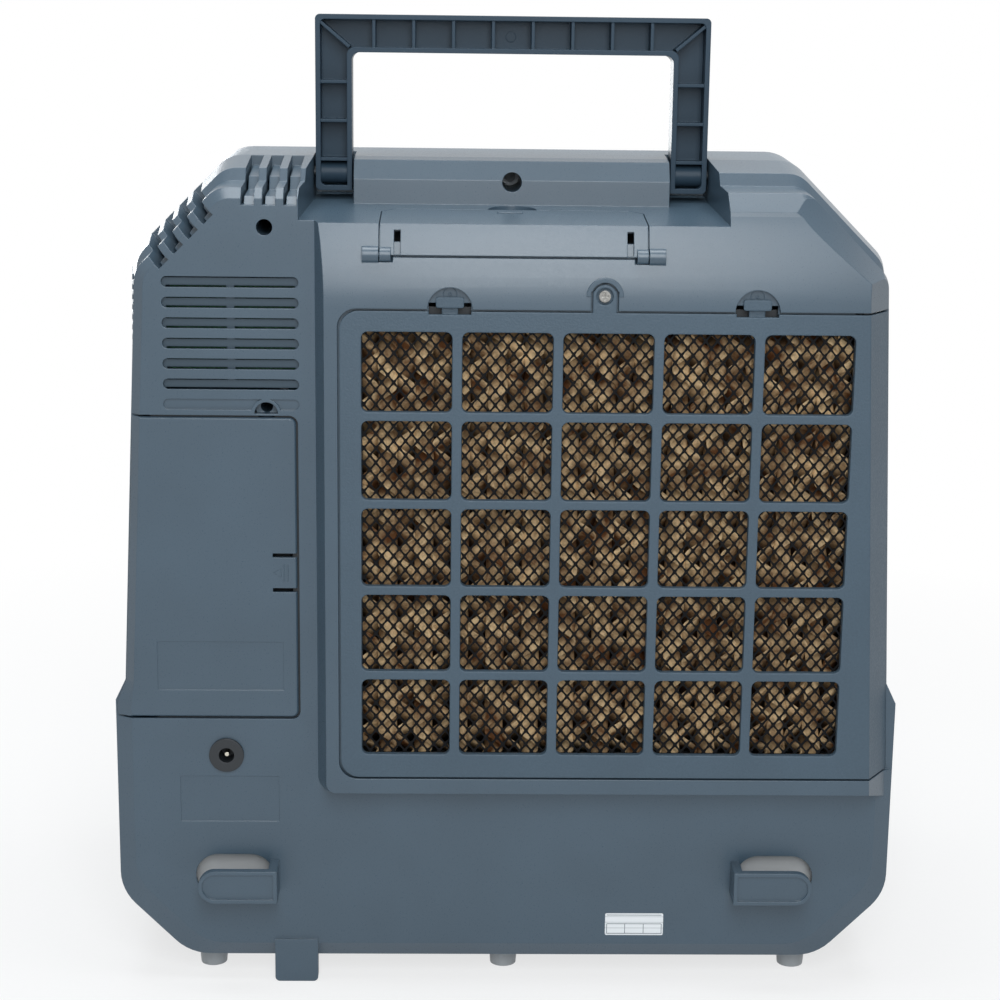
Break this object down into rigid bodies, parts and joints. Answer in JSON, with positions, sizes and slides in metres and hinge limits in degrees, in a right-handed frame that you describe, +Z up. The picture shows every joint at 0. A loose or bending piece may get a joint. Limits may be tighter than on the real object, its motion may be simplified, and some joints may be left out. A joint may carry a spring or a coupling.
{
  "type": "evaporative air cooler",
  "caption": "Portable evaporative air cooler: fan behind a wet pad and grille, water tank with fill lid, battery bay, fold-down handle, tilting outlet louvres, feet.",
  "frame": {"origin": "middle of the bounding box on the floor the feet stand on", "axes": "+Z up, +Y from the intake grille at the back to the air outlet at the front, +X to the right seen from behind"},
  "size_m": [0.4076, 0.25, 0.5044],
  "materials": {
    "housing_plastic": "fine spark-eroded grain",
    "handle_plastic": "satin",
    "dark_plastic": "satin",
    "vane_plastic": "satin",
    "net_black": "matt",
    "pad_brown": "corrugated paper",
    "tank_plastic": "satin",
    "foot_rubber": "matt",
    "hose_rubber": "satin",
    "steel": "zinc plated",
    "socket_metal": "plated",
    "motor_paint": "satin",
    "pack_plastic": "satin",
    "board_green": "solder mask",
    "panel_gloss": "polished",
    "button_gloss": "polished"
  },
  "bodies": {
    "housing": {"rear_housing": "housing_plastic", "front_housing": "housing_plastic", "housing_screws": "steel", "rubber_feet": "foot_rubber", "water_tank": "tank_plastic", "water_pump": "dark_plastic", "pump_hose": "hose_rubber", "pad_frame": "dark_plastic", "cooling_pad": "pad_brown", "drip_tray": "dark_plastic", "fan_shroud": "dark_plastic", "fan_motor": "motor_paint", "battery_bay": "dark_plastic", "battery_pack": "pack_plastic", "vent_baffle": "dark_plastic", "control_board": "board_green", "charge_socket": "dark_plastic", "socket_pin": "socket_metal", "handle_pins": "steel", "outlet_guard": "dark_plastic", "control_panel": "panel_gloss", "switch_board": "board_green", "cord_hooks": "housing_plastic"},
    "handle": {"carry_handle": "handle_plastic"},
    "lid": {"fill_lid": "housing_plastic"},
    "door": {"battery_door": "housing_plastic"},
    "grille": {"rear_grille": "housing_plastic", "dust_net": "net_black", "grille_screw": "steel"},
    "fan": {"fan_blades": "dark_plastic", "motor_shaft": "steel", "fan_nut": "steel"},
    "vane_1": {"louvre_vane_1": "vane_plastic"},
    "vane_2": {"louvre_vane_2": "vane_plastic"},
    "vane_3": {"louvre_vane_3": "vane_plastic"},
    "vane_4": {"louvre_vane_4": "vane_plastic"},
    "vane_5": {"louvre_vane_5": "vane_plastic"},
    "link": {"louvre_link": "dark_plastic"},
    "power_button": {"power_button": "button_gloss"},
    "speed_button": {"speed_button": "button_gloss"},
    "pump_button": {"pump_button": "button_gloss"}
  },
  "joints": [
    {"name": "handle_fold", "type": "hinge", "parent": "housing", "child": "handle", "pos_m": [0, -0.042, 0.424], "axis": [1, 0, 0], "range_deg": [0, 90]},
    {"name": "lid_open", "type": "hinge", "parent": "housing", "child": "lid", "pos_m": [0, -0.1183, 0.3892], "axis": [1, 0, 0], "range_deg": [0, 115]},
    {"name": "door_open", "type": "hinge", "parent": "housing", "child": "door", "pos_m": [-0.2032, -0.1032, 0.2265], "axis": [0, 0, -1], "range_deg": [0, 100]},
    {"name": "grille_tilt", "type": "hinge", "parent": "housing", "child": "grille", "pos_m": [0.05, -0.122, 0.12], "axis": [1, 0, 0], "range_deg": [0, 35]},
    {"name": "fan_spin", "type": "hinge", "parent": "housing", "child": "fan", "pos_m": [0.0475, -0.0515, 0.242], "axis": [0, 1, 0], "continuous": true},
    {"name": "vane_1_tilt", "type": "hinge", "parent": "housing", "child": "vane_1", "pos_m": [0.0475, 0.098, 0.162], "axis": [1, 0, 0], "range_deg": [-25, 25]},
    {"name": "vane_2_tilt", "type": "hinge", "parent": "housing", "child": "vane_2", "pos_m": [0.0475, 0.098, 0.202], "axis": [1, 0, 0], "range_deg": [-25, 25]},
    {"name": "vane_3_tilt", "type": "hinge", "parent": "housing", "child": "vane_3", "pos_m": [0.0475, 0.098, 0.242], "axis": [1, 0, 0], "range_deg": [-25, 25]},
    {"name": "vane_4_tilt", "type": "hinge", "parent": "housing", "child": "vane_4", "pos_m": [0.0475, 0.098, 0.282], "axis": [1, 0, 0], "range_deg": [-25, 25]},
    {"name": "vane_5_tilt", "type": "hinge", "parent": "housing", "child": "vane_5", "pos_m": [0.0475, 0.098, 0.322], "axis": [1, 0, 0], "range_deg": [-25, 25]},
    {"name": "link_slide", "type": "slide", "parent": "housing", "child": "link", "axis": [0, 0, 1], "range_m": [-0.00525, 0.00525]},
    {"name": "power_press", "type": "slide", "parent": "housing", "child": "power_button", "axis": [0, -1, 0], "range_m": [0, 0.0012], "stiffness_N_per_m": 300},
    {"name": "speed_press", "type": "slide", "parent": "housing", "child": "speed_button", "axis": [0, -1, 0], "range_m": [0, 0.0012], "stiffness_N_per_m": 300},
    {"name": "pump_press", "type": "slide", "parent": "housing", "child": "pump_button", "axis": [0, -1, 0], "range_m": [0, 0.0012], "stiffness_N_per_m": 300}
  ],
  "couplings": [
    {"joint": "vane_1_tilt", "follows": "vane_3_tilt", "ratio": 1},
    {"joint": "vane_2_tilt", "follows": "vane_3_tilt", "ratio": 1},
    {"joint": "vane_4_tilt", "follows": "vane_3_tilt", "ratio": 1},
    {"joint": "vane_5_tilt", "follows": "vane_3_tilt", "ratio": 1},
    {"joint": "link_slide", "follows": "vane_3_tilt", "m_per_rad": -0.012}
  ]
}
